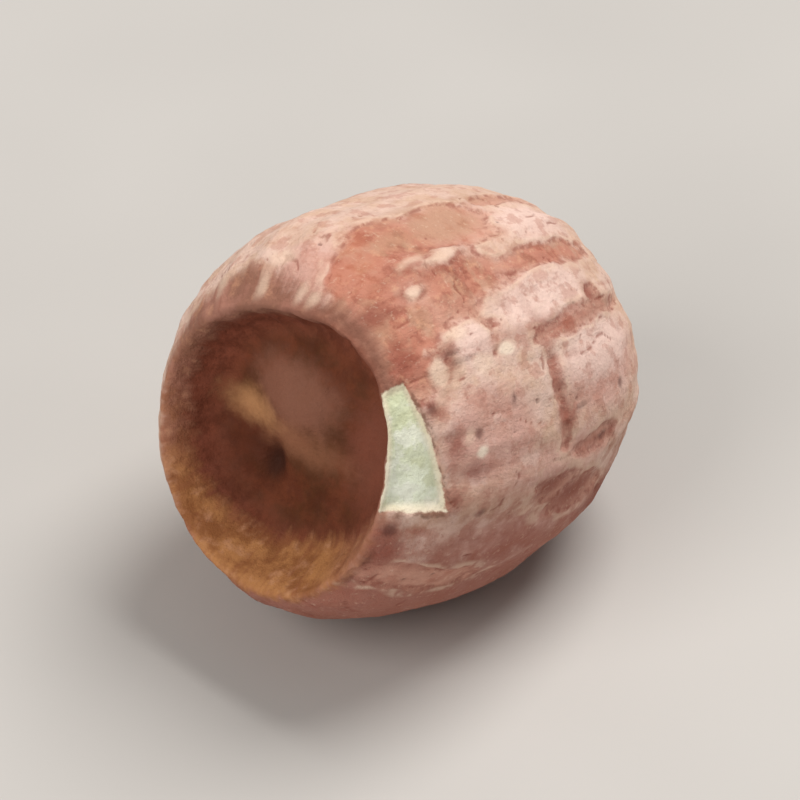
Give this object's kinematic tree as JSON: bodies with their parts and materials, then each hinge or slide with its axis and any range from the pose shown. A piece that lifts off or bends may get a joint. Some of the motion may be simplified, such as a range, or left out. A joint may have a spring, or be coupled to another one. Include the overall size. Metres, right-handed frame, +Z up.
{
  "type": "dried lotus seed",
  "caption": "Dried lotus seed with its pink skin on, lying on its side: a stubby ribbed barrel with a hollow cup at one end and a small ring scar at the other.",
  "frame": {"origin": "on the surface that the seed rests on, under the middle of its bounding box", "axes": "+X along the seed from its cup to its tail, +Y to its far side, +Z up"},
  "size_m": [0.0152, 0.012, 0.0122],
  "materials": {
    "seed_skin": "matte, dry and mealy"
  },
  "bodies": {
    "root": {"lotus_seed": "seed_skin"}
  },
  "joints": []
}
